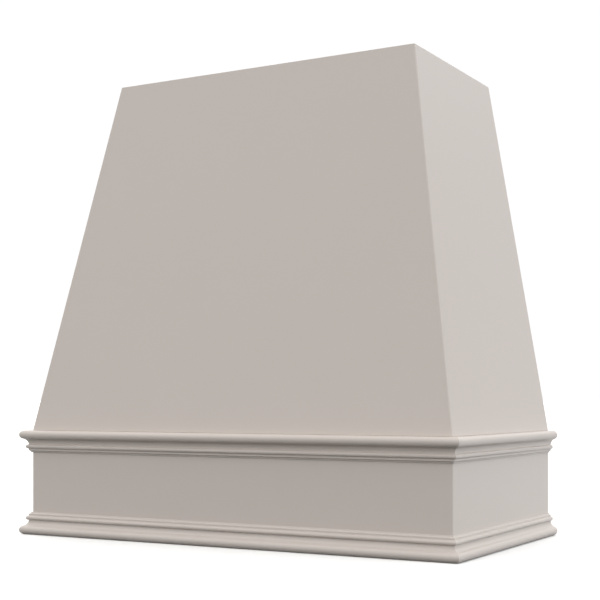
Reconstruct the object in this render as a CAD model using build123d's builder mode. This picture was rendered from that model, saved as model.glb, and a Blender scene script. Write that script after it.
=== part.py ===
"""Tapered wooden range hood cover with classic mouldings, as its separate joined boards.

Millimetres, +Z up, +X along the wall, +Y towards the wall. The origin is the middle of the
bounding box's bottom face: the cover stands on z = 0, and the wall is the plane y = wall_y.
Right-hand pieces are made first and mirrored for the left.
"""

from build123d import *
import math
import os

os.makedirs("parts", exist_ok=True)

# ---------------------------------------------------------------- driving dimensions
# Outside of the boxed band at the bottom, and of the whole cover
band_width = 914.4
band_depth = 495.3
band_height = 209.55
hood_height = 914.4
# How far each side and the front lean in, from the band to the top
side_setback = 127.0
front_setback = 127.0
# Outer boards and the rounding of their corners
panel_thickness = 19.05
band_thickness = 19.05
arris_radius = 2.5

# Classic moulding, from its nose to its thin edge: nose, cove, neck with a bead, and cavetto.
# The nose leans, in degrees, where it runs into the cove.
moulding_projection = 19.05
nose_radius = 8.8
nose_lean = 70
neck_projection = 5.3
bead_radius = 4.3
step_height = 3.9
cavetto_radius = 3.5

# Back rails, and the pair of bevelled cleats that the cover hangs by
back_rail_thickness = 19.05
top_rail_height = 139.7
bottom_rail_height = 114.3
housing_depth = 6.35
cleat_thickness = 19.05
cleat_height = 76.2
wall_cleat_end_gap = 12.7

# Strips inside the top edge, and rails behind the joint of shell and band
top_cleat_thickness = 19.05
top_cleat_height = 38.1
seam_rail_thickness = 25.4
seam_rail_overlap = 38.1

# Ledgers that carry the metal insert
ledger_size = 38.1
ledger_recess = 25.4
ledger_chamfer = 3.0

# Glue blocks in the corners, and loose splines across the mitres
block_leg = 38.1
shell_block_length = 120.0
shell_block_count = 3
apron_block_gap = 12.7
spline_thickness = 6.35
spline_width = 15.9
spline_inset = 8.0
spline_stop = 12.7

# Countersunk wood screws, many-sided like their bores, which are wider by screw_gap all round
screw_radius = 2.0
screw_head_radius = 4.1
screw_head_height = 2.6
screw_tip_radius = 0.4
screw_tip_length = 4.0
screw_sides = 8
screw_gap = 0.2
screw_end_distance = 38.1
cleat_screw_count = 5
seam_screw_count = 4
ledger_screw_count = 4
top_screw_count = 3
side_screw_count = 2

# Holes for what isn't part of the cover: screws into the wall's studs, and the insert's screws
stud_spacing = 406.4
wall_hole_rows = 38.1
wall_hole_radius = 2.75
wall_countersink_radius = 5.5
insert_hole_spacing = 508.0
insert_hole_radius = 1.5
insert_hole_depth = 25.4

# ---------------------------------------------------------------- derived places
half_width = band_width / 2
wall_y = (band_depth + moulding_projection) / 2
face_y = wall_y - band_depth
taper_height = hood_height - band_height
side_lean = math.atan2(side_setback, taper_height)
front_lean = math.atan2(front_setback, taper_height)
# Thicknesses of the leaning boards, measured level
side_run = panel_thickness / math.cos(side_lean)
front_run = panel_thickness / math.cos(front_lean)
side_cleat_run = top_cleat_thickness / math.cos(side_lean)
front_cleat_run = top_cleat_thickness / math.cos(front_lean)

band_inner_x = half_width - band_thickness
band_inner_y = face_y + band_thickness
cleat_y = wall_y - cleat_thickness
top_rail_y = cleat_y - back_rail_thickness
bottom_rail_y = wall_y - back_rail_thickness
bottom_rail_top = ledger_recess + bottom_rail_height
ledger_top = ledger_recess + ledger_size
seam_low = band_height - seam_rail_overlap
seam_high = band_height + seam_rail_overlap
top_cleat_low = hood_height - top_cleat_height


def side_x(z):
    """Outer face of the right side panel at height z."""
    return half_width - side_setback * (z - band_height) / taper_height


def front_y(z):
    """Outer face of the front panel at height z."""
    return face_y + front_setback * (z - band_height) / taper_height


# The shell's outer corner climbs along corner_climb, and mitre_line crosses the mitre level
corner_climb = Vector(-side_setback, front_setback, taper_height)
mitre_line = Vector(-side_run, front_run, 0)

# Cutting planes. Their normals point out of the cover, and at a mitre to the side board.
side_face = Plane(
    origin=(half_width, 0, band_height),
    x_dir=(0, 1, 0),
    z_dir=(math.cos(side_lean), 0, math.sin(side_lean)),
)
front_face = Plane(
    origin=(0, face_y, band_height),
    x_dir=(1, 0, 0),
    z_dir=(0, -math.cos(front_lean), math.sin(front_lean)),
)
side_inside = side_face.offset(-panel_thickness)
front_inside = front_face.offset(-panel_thickness)
shell_mitre = Plane(
    origin=(half_width, face_y, band_height),
    x_dir=mitre_line,
    z_dir=mitre_line.cross(corner_climb),
)
band_mitre = Plane(origin=(half_width, face_y, 0), x_dir=(-1, 1, 0), z_dir=(1, 1, 0))


def mirrored(plane):
    """The same plane at the left of the cover."""
    origin, x_dir, z_dir = plane.origin, plane.x_dir, plane.z_dir
    return Plane(
        origin=(-origin.X, origin.Y, origin.Z),
        x_dir=(-x_dir.X, x_dir.Y, x_dir.Z),
        z_dir=(-z_dir.X, z_dir.Y, z_dir.Z),
    )


def cut_at_both_sides(plane):
    """Keep what lies inside a plane at the right and its mirror image at the left."""
    split(bisect_by=plane, keep=Keep.BOTTOM)
    split(bisect_by=mirrored(plane), keep=Keep.BOTTOM)


def across(y):
    """Plane for the section of a board that runs along Y, at this y, facing the front."""
    return Plane.XZ.offset(-y)


def save(part, name):
    """Label a finished piece and write it as its own file."""
    part.label = name
    export_step(part, f"parts/{name}.step")


def save_pair(right, name):
    """Write a right-hand piece, and its mirror image for the left."""
    with BuildPart() as left:
        mirror(right.part, about=Plane.YZ)
    save(right.part, f"right_{name}" if name.endswith("panel") else f"{name}_right")
    save(left.part, f"left_{name}" if name.endswith("panel") else f"{name}_left")


# ---------------------------------------------------------------- screws and their places
# A place is the plane of a screw's head, with its normal pointing out of the head.


def spaced(count, reach):
    """Evenly spaced offsets from -reach to +reach."""
    return [reach * (2 * i / (count - 1) - 1) for i in range(count)]


def wood_screws(places, length, gap=0.0):
    """A screw at each place, its head flush with the plane. A gap makes room for it instead."""
    sections = [
        (0, screw_head_radius),
        (screw_head_height, screw_radius),
        (length - screw_tip_length, screw_radius),
        (length, screw_tip_radius),
    ]
    with BuildPart() as screw:
        for depth, radius in sections:
            with BuildSketch(Plane.XY.offset(-depth)):
                RegularPolygon(radius + gap, screw_sides)
        loft(ruled=True)
    with BuildPart() as screws:
        with Locations(*places):
            add(screw.part)
    return screws.part


def screw_bores(places, length):
    """Cut the bores of these screws, with the seats of their heads, in the open part."""
    add(wood_screws(places, length, screw_gap), mode=Mode.SUBTRACT)


def wall_holes(plane, rows):
    """Countersunk holes at the studs, in the open part, for screws into the wall."""
    with Locations(plane):
        with GridLocations(stud_spacing, wall_hole_rows, 2, rows):
            CounterSinkHole(radius=wall_hole_radius, counter_sink_radius=wall_countersink_radius)


# Screws through the upper back rail into the hood cleat
cleat_low = hood_height - cleat_height + cleat_thickness
cleat_screw_length = back_rail_thickness + cleat_thickness / 2
cleat_screw_reach = side_x(hood_height) - side_run - 2 * screw_end_distance
cleat_places = [
    Plane(origin=(x, top_rail_y, (cleat_low + hood_height) / 2), z_dir=(0, -1, 0))
    for x in spaced(cleat_screw_count, cleat_screw_reach)
]

# Screws through the strips inside the top edge into the panels, square to the slope
top_screw_length = top_cleat_thickness + panel_thickness / 2
top_screw_z = hood_height - top_cleat_height / 2
top_front_y = front_y(top_screw_z) + front_run + front_cleat_run
top_side_x = side_x(top_screw_z) - side_run - side_cleat_run
top_side_middle = (front_y(hood_height) + front_run + front_cleat_run + top_rail_y) / 2
top_front_places = [
    Plane(origin=(x, top_front_y, top_screw_z), z_dir=-front_face.z_dir)
    for x in spaced(top_screw_count, top_side_x - 2 * screw_end_distance)
]
top_right_places = [
    Plane(origin=(top_side_x, top_side_middle + y, top_screw_z), z_dir=-side_face.z_dir)
    for y in spaced(side_screw_count, top_rail_y - top_side_middle - screw_end_distance)
]

# Screws through the seam rails: a lower row into the band and an upper row into the shell
seam_screw_length = seam_rail_thickness + band_thickness / 2
seam_inner_x = band_inner_x - seam_rail_thickness
seam_inner_y = band_inner_y + seam_rail_thickness
seam_middle = (seam_inner_y + wall_y) / 2


def seam_row(z):
    """Places of one row's screws, along the front rail and along the right one."""
    front = [
        Plane(origin=(x, seam_inner_y, z), z_dir=(0, 1, 0))
        for x in spaced(seam_screw_count, seam_inner_x - 2 * screw_end_distance)
    ]
    right = [
        Plane(origin=(seam_inner_x, seam_middle + y, z), z_dir=(-1, 0, 0))
        for y in spaced(side_screw_count, wall_y - seam_middle - 2 * screw_end_distance)
    ]
    return front, right


low_front_places, low_right_places = seam_row(band_height - seam_rail_overlap / 2)
high_front_places, high_right_places = seam_row(band_height + seam_rail_overlap / 2)

# Screws through the ledgers into the band and into the lower back rail
ledger_screw_length = ledger_size + band_thickness / 2
ledger_screw_z = ledger_recess + ledger_size / 2
ledger_inner_x = band_inner_x - ledger_size
ledger_front_y = band_inner_y + ledger_size
ledger_back_y = bottom_rail_y - ledger_size
ledger_middle = (ledger_front_y + ledger_back_y) / 2
ledger_x_offsets = spaced(ledger_screw_count, ledger_inner_x - screw_end_distance)
ledger_y_offsets = spaced(side_screw_count, ledger_back_y - ledger_middle - screw_end_distance)
ledger_front_places = [
    Plane(origin=(x, ledger_front_y, ledger_screw_z), z_dir=(0, 1, 0)) for x in ledger_x_offsets
]
ledger_back_places = [
    Plane(origin=(x, ledger_back_y, ledger_screw_z), z_dir=(0, -1, 0)) for x in ledger_x_offsets
]
ledger_right_places = [
    Plane(origin=(ledger_inner_x, ledger_middle + y, ledger_screw_z), z_dir=(-1, 0, 0))
    for y in ledger_y_offsets
]

top_side_places = top_right_places + [mirrored(place) for place in top_right_places]
seam_side_places = low_right_places + high_right_places
seam_side_places += [mirrored(place) for place in seam_side_places]
ledger_side_places = ledger_right_places + [mirrored(place) for place in ledger_right_places]

save(wood_screws(cleat_places, cleat_screw_length), "cleat_screws")
save(wood_screws(top_front_places + top_side_places, top_screw_length), "top_cleat_screws")
seam_places = low_front_places + high_front_places + seam_side_places
save(wood_screws(seam_places, seam_screw_length), "seam_rail_screws")
ledger_places = ledger_front_places + ledger_back_places + ledger_side_places
save(wood_screws(ledger_places, ledger_screw_length), "ledger_screws")

# ---------------------------------------------------------------- outer envelopes
# Solids of the finished outside, with the front corners sanded round. The boards are cut to them.
with BuildPart() as shell_envelope:
    for level in (band_height, hood_height):
        with BuildSketch(Plane.XY.offset(level)):
            with Locations((0, (front_y(level) + wall_y) / 2)):
                Rectangle(2 * side_x(level), wall_y - front_y(level))
    loft(ruled=True)
    climbing = shell_envelope.edges().filter_by(lambda e: e.bounding_box().size.Z > 1)
    fillet(climbing.sort_by(Axis.Y)[:2], arris_radius)

with BuildPart() as band_envelope:
    with BuildSketch():
        with Locations((0, (face_y + wall_y) / 2)):
            plan = Rectangle(band_width, band_depth)
        fillet(plan.vertices().sort_by(Axis.Y)[:2], arris_radius)
    extrude(amount=band_height)

# ---------------------------------------------------------------- splines
# A spline lies square across its mitre, near the inner corner, where the boards are deepest.


def spline(corner_plane, mitre_length, climb, height):
    """A pair of splines. The plane is level at an outer corner, with x along its mitre."""
    with BuildPart() as right:
        with BuildSketch(corner_plane):
            with Locations((mitre_length - spline_inset, 0)):
                Rectangle(spline_thickness, spline_width)
        extrude(amount=height * climb.length / climb.Z, dir=climb)
    with BuildPart() as pair:
        add(right.part)
        mirror(right.part, about=Plane.YZ)
    return pair.part


spline_foot = band_height + spline_stop
shell_corner = Plane(
    origin=(side_x(spline_foot), front_y(spline_foot), spline_foot),
    x_dir=mitre_line,
    z_dir=(0, 0, 1),
)
shell_splines = spline(
    shell_corner, mitre_line.length, corner_climb, taper_height - 2 * spline_stop
)
save(shell_splines, "shell_splines")

band_corner = Plane(origin=(half_width, face_y, spline_stop), x_dir=(-1, 1, 0), z_dir=(0, 0, 1))
apron_splines = spline(
    band_corner, band_thickness * math.sqrt(2), Vector(0, 0, 1), band_height - 2 * spline_stop
)
save(apron_splines, "apron_splines")

# ---------------------------------------------------------------- back rails and cleats
# Upper rail: its ends are cut to the slope of the sides and sit in their dados
with BuildPart() as back_rail_top:
    with BuildSketch(Plane.YZ):
        with Locations((top_rail_y, hood_height)):
            Rectangle(back_rail_thickness, top_rail_height, align=(Align.MIN, Align.MAX))
    extrude(amount=half_width, both=True)
    cut_at_both_sides(side_inside.offset(housing_depth))
    screw_bores(cleat_places, cleat_screw_length)
save(back_rail_top.part, "back_rail_top")

# Lower rail: its ends sit in rabbets of the side band boards, and screws hold it to the wall
with BuildPart() as back_rail_bottom:
    with BuildSketch(across(wall_y)):
        with Locations((0, ledger_recess)):
            Rectangle(
                2 * (band_inner_x + housing_depth),
                bottom_rail_height,
                align=(Align.CENTER, Align.MIN),
            )
    extrude(amount=back_rail_thickness)
    screw_bores(ledger_back_places, ledger_screw_length)
    lower_wall_z = (ledger_top + bottom_rail_top) / 2
    wall_holes(Plane(origin=(0, bottom_rail_y, lower_wall_z), x_dir=(1, 0, 0), z_dir=(0, -1, 0)), 1)
save(back_rail_bottom.part, "back_rail_bottom")

# Hood cleat: its lower edge is bevelled at 45 degrees and hooks behind the wall cleat's edge
with BuildPart() as hood_cleat:
    with BuildSketch(Plane.YZ):
        with BuildLine():
            Polyline(
                (cleat_y, hood_height),
                (wall_y, hood_height),
                (wall_y, cleat_low - cleat_thickness),
                (cleat_y, cleat_low),
                close=True,
            )
        make_face()
    extrude(amount=half_width, both=True)
    cut_at_both_sides(side_inside)
    screw_bores(cleat_places, cleat_screw_length)
save(hood_cleat.part, "hood_cleat")

# Wall cleat: the mating bevel, screwed to two studs before the cover is hung on it
wall_cleat_low = cleat_low - cleat_height
with BuildPart() as wall_cleat:
    with BuildSketch(Plane.YZ):
        with BuildLine():
            Polyline(
                (cleat_y, cleat_low),
                (wall_y, cleat_low - cleat_thickness),
                (wall_y, wall_cleat_low),
                (cleat_y, wall_cleat_low),
                close=True,
            )
        make_face()
    extrude(amount=side_x(hood_height) - side_run - wall_cleat_end_gap, both=True)
    wall_hole_z = wall_cleat_low + (cleat_height - cleat_thickness) / 2
    wall_holes(Plane(origin=(0, cleat_y, wall_hole_z), x_dir=(1, 0, 0), z_dir=(0, -1, 0)), 2)
save(wall_cleat.part, "wall_cleat")

# ---------------------------------------------------------------- strips inside the top edge
with BuildPart() as top_cleat_front:
    with BuildSketch(Plane.YZ):
        with BuildLine():
            Polyline(
                (front_y(top_cleat_low) + front_run, top_cleat_low),
                (front_y(hood_height) + front_run, hood_height),
                (front_y(hood_height) + front_run + front_cleat_run, hood_height),
                (front_y(top_cleat_low) + front_run + front_cleat_run, top_cleat_low),
                close=True,
            )
        make_face()
    extrude(amount=half_width, both=True)
    cut_at_both_sides(side_inside)
    screw_bores(top_front_places, top_screw_length)
save(top_cleat_front.part, "top_cleat_front")

with BuildPart() as top_cleat_right:
    with BuildSketch(across(top_rail_y)):
        with BuildLine():
            Polyline(
                (side_x(top_cleat_low) - side_run, top_cleat_low),
                (side_x(hood_height) - side_run, hood_height),
                (side_x(hood_height) - side_run - side_cleat_run, hood_height),
                (side_x(top_cleat_low) - side_run - side_cleat_run, top_cleat_low),
                close=True,
            )
        make_face()
    extrude(amount=top_rail_y - face_y)
    split(bisect_by=front_inside.offset(-top_cleat_thickness), keep=Keep.BOTTOM)
    screw_bores(top_right_places, top_screw_length)
save_pair(top_cleat_right, "top_cleat")

# ---------------------------------------------------------------- rails behind the seam
# Each is planed to two faces: upright against the band, then leaning with the shell.
front_kink = band_height + (band_thickness - front_run) * taper_height / front_setback
side_kink = band_height + (band_thickness - side_run) * taper_height / side_setback

with BuildPart() as seam_rail_front:
    with BuildSketch(Plane.YZ):
        with BuildLine():
            Polyline(
                (band_inner_y, seam_low),
                (band_inner_y, front_kink),
                (front_y(seam_high) + front_run, seam_high),
                (seam_inner_y, seam_high),
                (seam_inner_y, seam_low),
                close=True,
            )
        make_face()
    extrude(amount=seam_inner_x, both=True)
    screw_bores(low_front_places + high_front_places, seam_screw_length)
save(seam_rail_front.part, "seam_rail_front")

with BuildPart() as seam_rail_right:
    with BuildSketch(across(wall_y)):
        with BuildLine():
            Polyline(
                (band_inner_x, seam_low),
                (band_inner_x, side_kink),
                (side_x(seam_high) - side_run, seam_high),
                (seam_inner_x, seam_high),
                (seam_inner_x, seam_low),
                close=True,
            )
        make_face()
    extrude(amount=wall_y - band_inner_y)
    split(bisect_by=front_inside, keep=Keep.BOTTOM)
    screw_bores(low_right_places + high_right_places, seam_screw_length)
save_pair(seam_rail_right, "seam_rail")

# ---------------------------------------------------------------- insert ledgers
# Square strips, chamfered at the edge that the insert passes on its way up.


def cross_ledger(outer_y, bay_y, screw_places):
    """The ledger across the front or the back, with pilot holes for the insert's screws."""
    middle_y = (outer_y + bay_y) / 2
    to_bay = Axis((0, 0, 0), (math.copysign(1, bay_y - outer_y), 0, 0))
    with BuildPart() as ledger:
        with BuildSketch(Plane.YZ):
            with Locations((middle_y, ledger_screw_z)):
                blank = Rectangle(ledger_size, ledger_size)
            chamfer(blank.vertices().sort_by(to_bay)[-2:].sort_by(Axis.Y)[:1], ledger_chamfer)
        extrude(amount=band_inner_x, both=True)
        screw_bores(screw_places, ledger_screw_length)
        with Locations(Plane(origin=(0, middle_y, ledger_recess), z_dir=(0, 0, -1))):
            with GridLocations(insert_hole_spacing, 0, 2, 1):
                Hole(radius=insert_hole_radius, depth=insert_hole_depth)
    return ledger.part


save(cross_ledger(band_inner_y, ledger_front_y, ledger_front_places), "insert_ledger_front")
save(cross_ledger(bottom_rail_y, ledger_back_y, ledger_back_places), "insert_ledger_back")

with BuildPart() as insert_ledger_right:
    with BuildSketch(across(ledger_back_y)):
        with Locations((ledger_inner_x + ledger_size / 2, ledger_screw_z)):
            blank = Rectangle(ledger_size, ledger_size)
        chamfer(blank.vertices().sort_by(Axis.X)[:2].sort_by(Axis.Y)[:1], ledger_chamfer)
    extrude(amount=ledger_back_y - ledger_front_y)
    screw_bores(ledger_right_places, ledger_screw_length)
save_pair(insert_ledger_right, "insert_ledger")

# ---------------------------------------------------------------- glue blocks
# Three-cornered blocks whose legs lie flat on the two boards of a corner.


def corner_block(foot, climb, height):
    """A block that climbs from the inner corner at foot, in the right-hand corner."""
    with BuildPart() as block:
        with BuildSketch(Plane.XY.offset(foot.Z)):
            with BuildLine():
                Polyline(
                    (foot.X, foot.Y),
                    (foot.X, foot.Y + block_leg),
                    (foot.X - block_leg, foot.Y),
                    close=True,
                )
            make_face()
        extrude(amount=height * climb.length / climb.Z, dir=climb)
    return block.part


block_pitch = (top_cleat_low - seam_high + shell_block_length) / (shell_block_count + 1)
with BuildPart() as shell_blocks_right:
    for number in range(1, shell_block_count + 1):
        block_low = seam_high + number * block_pitch - shell_block_length
        block_x = side_x(block_low) - side_run
        block_y = front_y(block_low) + front_run
        foot = Vector(block_x, block_y, block_low)
        add(corner_block(foot, corner_climb, shell_block_length))
save_pair(shell_blocks_right, "shell_blocks")

apron_block_low = ledger_top + apron_block_gap
apron_block = corner_block(
    Vector(band_inner_x, band_inner_y, apron_block_low),
    Vector(0, 0, 1),
    seam_low - apron_block_gap - apron_block_low,
)
with BuildPart() as apron_blocks:
    add(apron_block)
    mirror(apron_block, about=Plane.YZ)
save(apron_blocks.part, "apron_blocks")

# ---------------------------------------------------------------- shell panels
with BuildPart() as front_panel:
    with BuildSketch(Plane.YZ):
        with BuildLine():
            Polyline(
                (face_y, band_height),
                (front_y(hood_height), hood_height),
                (front_y(hood_height) + front_run, hood_height),
                (face_y + front_run, band_height),
                close=True,
            )
        make_face()
    extrude(amount=half_width, both=True)
    cut_at_both_sides(shell_mitre)
    add(shell_envelope.part, mode=Mode.INTERSECT)
    add(shell_splines, mode=Mode.SUBTRACT)
    screw_bores(high_front_places, seam_screw_length)
    screw_bores(top_front_places, top_screw_length)
save(front_panel.part, "front_panel")

with BuildPart() as right_side_panel:
    with BuildSketch(across(wall_y)):
        with BuildLine():
            Polyline(
                (half_width, band_height),
                (side_x(hood_height), hood_height),
                (side_x(hood_height) - side_run, hood_height),
                (half_width - side_run, band_height),
                close=True,
            )
        make_face()
    extrude(amount=band_depth)
    split(bisect_by=shell_mitre, keep=Keep.TOP)
    add(shell_envelope.part, mode=Mode.INTERSECT)
    add(shell_splines, mode=Mode.SUBTRACT)
    add(back_rail_top.part, mode=Mode.SUBTRACT)
    screw_bores(high_right_places, seam_screw_length)
    screw_bores(top_right_places, top_screw_length)
save_pair(right_side_panel, "side_panel")

# ---------------------------------------------------------------- band boards
with BuildPart() as apron_front:
    with BuildSketch():
        with BuildLine():
            Polyline(
                (-half_width, face_y),
                (half_width, face_y),
                (band_inner_x, band_inner_y),
                (-band_inner_x, band_inner_y),
                close=True,
            )
        make_face()
    extrude(amount=band_height)
    add(band_envelope.part, mode=Mode.INTERSECT)
    add(apron_splines, mode=Mode.SUBTRACT)
    screw_bores(low_front_places, seam_screw_length)
    screw_bores(ledger_front_places, ledger_screw_length)
save(apron_front.part, "apron_front")

with BuildPart() as apron_right:
    with BuildSketch():
        with BuildLine():
            Polyline(
                (half_width, face_y),
                (half_width, wall_y),
                (band_inner_x, wall_y),
                (band_inner_x, band_inner_y),
                close=True,
            )
        make_face()
    extrude(amount=band_height)
    add(band_envelope.part, mode=Mode.INTERSECT)
    add(apron_splines, mode=Mode.SUBTRACT)
    add(back_rail_bottom.part, mode=Mode.SUBTRACT)
    screw_bores(low_right_places, seam_screw_length)
    screw_bores(ledger_right_places, ledger_screw_length)
save_pair(apron_right, "apron")

# ---------------------------------------------------------------- mouldings
# The section's x is the projection from the band, and its y runs from the nose to the thin edge.
# The cove is tangent to the nose and to the upright neck, which fixes its radius.
lean_cos = math.cos(math.radians(nose_lean))
lean_sin = math.sin(math.radians(nose_lean))
nose_centre_x = moulding_projection - nose_radius
nose_end_x = nose_centre_x + nose_radius * lean_cos
nose_end = nose_radius * (1 + lean_sin)
cove_radius = (nose_end_x - neck_projection) / (1 - lean_cos)
cove_end = nose_end + cove_radius * lean_sin
bead_end = cove_end + 2 * bead_radius
step_end = bead_end + step_height
moulding_height = step_end + cavetto_radius
thin_edge = neck_projection - cavetto_radius

with BuildSketch() as moulding_section:
    with BuildLine():
        Line((0, 0), (nose_centre_x, 0))
        ThreePointArc(
            (nose_centre_x, 0), (moulding_projection, nose_radius), (nose_end_x, nose_end)
        )
        RadiusArc((nose_end_x, nose_end), (neck_projection, cove_end), cove_radius)
        ThreePointArc(
            (neck_projection, cove_end),
            (neck_projection + bead_radius, cove_end + bead_radius),
            (neck_projection, bead_end),
        )
        Line((neck_projection, bead_end), (neck_projection, step_end))
        RadiusArc((neck_projection, step_end), (thin_edge, moulding_height), cavetto_radius)
        Line((thin_edge, moulding_height), (0, moulding_height))
        Line((0, moulding_height), (0, 0))
    make_face()


def front_moulding(nose_z, along):
    """The length across the front, mitred at both ends. Along is the section's normal."""
    with BuildPart() as length:
        section = Plane(origin=(0, face_y, nose_z), x_dir=(0, -1, 0), z_dir=(along, 0, 0))
        with BuildSketch(section):
            add(moulding_section.sketch)
        extrude(amount=half_width + moulding_projection, both=True)
        cut_at_both_sides(band_mitre)
    return length.part


def right_moulding(nose_z, along):
    """The return on the right side, from the mitre to the wall. Along is the section's normal."""
    with BuildPart() as length:
        section = Plane(origin=(half_width, wall_y, nose_z), x_dir=(1, 0, 0), z_dir=(0, along, 0))
        with BuildSketch(section):
            add(moulding_section.sketch)
        extrude(amount=-along * (band_depth + moulding_projection))
        split(bisect_by=band_mitre, keep=Keep.TOP)
    return length


# The top moulding's nose is up, and the bottom one is the same profile turned over
save(front_moulding(band_height, 1), "top_moulding_front")
save_pair(right_moulding(band_height, 1), "top_moulding")
save(front_moulding(0, -1), "bottom_moulding_front")
save_pair(right_moulding(0, -1), "bottom_moulding")

print(f"moulding {moulding_height:.2f} x {moulding_projection:.2f}, wall plane y = {wall_y:.3f}")
print(f"wall cleat holes at z = {wall_hole_z:.3f}, lower holes at z = {lower_wall_z:.3f}")
print(f"insert holes at y = {ledger_middle:.3f}, {ledger_back_y - ledger_front_y + ledger_size:.3f} apart")
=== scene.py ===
# %% [markdown]
# # A tapered wooden range hood cover
# The cover hides the extractor above a cooker. Boards mitred at their corners make a straight
# band at the bottom and a tapered shell on top of it, and a classic moulding runs round the band
# twice, once at each edge. Outside it is sprayed with satin paint. Inside, where nobody looks, it
# stays raw wood. The model of its construction is loaded first. It gives every size below.

# %% Load the construction
import math

import bmesh
import bpy
import numpy as np
from mathutils import Matrix, Vector


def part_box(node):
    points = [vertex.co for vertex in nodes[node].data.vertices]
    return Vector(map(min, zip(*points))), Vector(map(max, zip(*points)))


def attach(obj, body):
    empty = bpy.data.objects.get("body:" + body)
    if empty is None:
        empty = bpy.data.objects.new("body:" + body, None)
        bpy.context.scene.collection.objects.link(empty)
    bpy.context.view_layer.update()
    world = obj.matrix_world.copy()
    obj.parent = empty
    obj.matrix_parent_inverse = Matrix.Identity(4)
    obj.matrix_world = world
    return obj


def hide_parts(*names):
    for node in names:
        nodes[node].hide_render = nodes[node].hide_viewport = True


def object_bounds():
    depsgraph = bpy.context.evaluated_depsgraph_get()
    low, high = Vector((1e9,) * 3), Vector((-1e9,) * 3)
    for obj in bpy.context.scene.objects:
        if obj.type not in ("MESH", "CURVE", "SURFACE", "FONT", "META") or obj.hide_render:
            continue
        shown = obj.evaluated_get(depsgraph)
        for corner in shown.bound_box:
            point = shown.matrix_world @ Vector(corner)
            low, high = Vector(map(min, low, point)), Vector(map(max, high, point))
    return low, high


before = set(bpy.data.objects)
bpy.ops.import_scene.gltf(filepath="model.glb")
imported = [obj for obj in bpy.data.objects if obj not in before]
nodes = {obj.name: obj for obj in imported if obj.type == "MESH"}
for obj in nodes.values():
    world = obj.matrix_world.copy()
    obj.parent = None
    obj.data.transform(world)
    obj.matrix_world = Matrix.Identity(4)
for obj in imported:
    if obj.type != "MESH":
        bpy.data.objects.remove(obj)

mm = 0.001               # Blender and the construction count in metres
cad_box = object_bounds()
print(f"{len(nodes)} pieces, box {[round(size, 4) for size in cad_box[1] - cad_box[0]]} m")

# %% [markdown]
# ## Camera
# The photograph was taken at about the height of the band, with the camera level, because the
# upright edges stay parallel in it. A level camera puts the horizon at the middle of its frame,
# so the frame is shifted up, as with a view camera, instead of tilting the camera. The focal
# length and the place come from the vanishing points of the cover's own edges.

# %% Set the camera
photo_size = 600            # pixels, each way
focal_length = 1258.6       # pixels
horizon = 399.7             # pixel row
camera_place = (1.26723, -2.18908, 0.27123)
camera_turn = math.radians(29.478)

camera_data = bpy.data.cameras.new("camera")
camera_data.lens = focal_length / photo_size * camera_data.sensor_width
camera_data.shift_y = (horizon - photo_size / 2) / photo_size
camera = bpy.data.objects.new("camera", camera_data)
camera.location = camera_place
camera.rotation_euler = (math.pi / 2, 0, camera_turn)
bpy.context.collection.objects.link(camera)
bpy.context.scene.camera = camera
print(f"lens {camera_data.lens:.2f} mm, shift {camera_data.shift_y:.4f}")

# %% [markdown]
# ## Colours and nodes
# Painters and wood suppliers give colours as sRGB codes, but a renderer adds up light, so it
# works in linear values. One function turns the first into the second. A second small function
# adds a shader node: each input gets a value, a colour code or the output of another node.

# %% Colour and node helpers
def linear(code):
    """The linear colour of an sRGB code such as #BEB5AE."""
    channels = [int(code[i:i + 2], 16) / 255 for i in (1, 3, 5)]
    light = [c / 12.92 if c <= 0.04045 else ((c + 0.055) / 1.055) ** 2.4 for c in channels]
    return (*light, 1.0)


def add(tree, kind, inputs=None, output=None, **settings):
    """Add a node, set it up, fill its inputs, and return one output: the first, or a named one."""
    node = tree.nodes.new(kind)
    for name, value in settings.items():
        setattr(node, name, value)
    for name, value in (inputs or {}).items():
        if isinstance(value, bpy.types.NodeSocket):
            tree.links.new(value, node.inputs[name])
        elif isinstance(value, str):
            node.inputs[name].default_value = linear(value)
        else:
            node.inputs[name].default_value = value
    shown = [socket for socket in node.outputs if socket.enabled]
    return node.outputs[output] if output else (shown or [None])[0]


print("mid grey, linear:", [round(c, 3) for c in linear("#808080")])

# %% [markdown]
# ## Light
# The cover stands in a white studio. The photograph shows what lights it: noses of the mouldings
# are bright on top and their hollows are dark below, so most light comes from overhead and little
# from the ground. A world shader does this. It rises from dim to white just under the horizon, so
# that the backdrop is white, and rises again towards the zenith. The side is paler than the front
# and less warm, and that whitening is a reflection, so a softbox stands out at the right. The view
# transform is the plain one, so that a white backdrop stays white.

# %% World light
ground_light = 0.10
horizon_light = 1.01
zenith_light = 1.63
ground_edge = (-0.04, -0.02)     # heights on a unit sphere where each change starts and ends
zenith_edge = (0.3, 0.4)

bpy.context.scene.view_settings.view_transform = "Standard"
world = bpy.data.worlds.new("studio")
world.use_nodes = True
bpy.context.scene.world = world
tree = world.node_tree
tree.nodes.clear()
direction = add(tree, "ShaderNodeTexCoord", output="Generated")
height = add(tree, "ShaderNodeSeparateXYZ", {"Vector": direction}, output="Z")
rise = add(
    tree,
    "ShaderNodeMapRange",
    {
        "Value": height,
        "From Min": ground_edge[0],
        "From Max": ground_edge[1],
        "To Min": ground_light,
        "To Max": horizon_light,
    },
    interpolation_type="SMOOTHSTEP",
)
overhead = add(
    tree,
    "ShaderNodeMapRange",
    {
        "Value": height,
        "From Min": zenith_edge[0],
        "From Max": zenith_edge[1],
        "To Max": zenith_light - horizon_light,
    },
    interpolation_type="SMOOTHSTEP",
)
strength = add(tree, "ShaderNodeMath", {0: rise, 1: overhead}, operation="ADD")
background = add(tree, "ShaderNodeBackground", {"Color": "#FFFFFF", "Strength": strength})
add(tree, "ShaderNodeOutputWorld", {"Surface": background})
print(f"ground {ground_light}, horizon {horizon_light}, zenith {zenith_light}")

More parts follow.
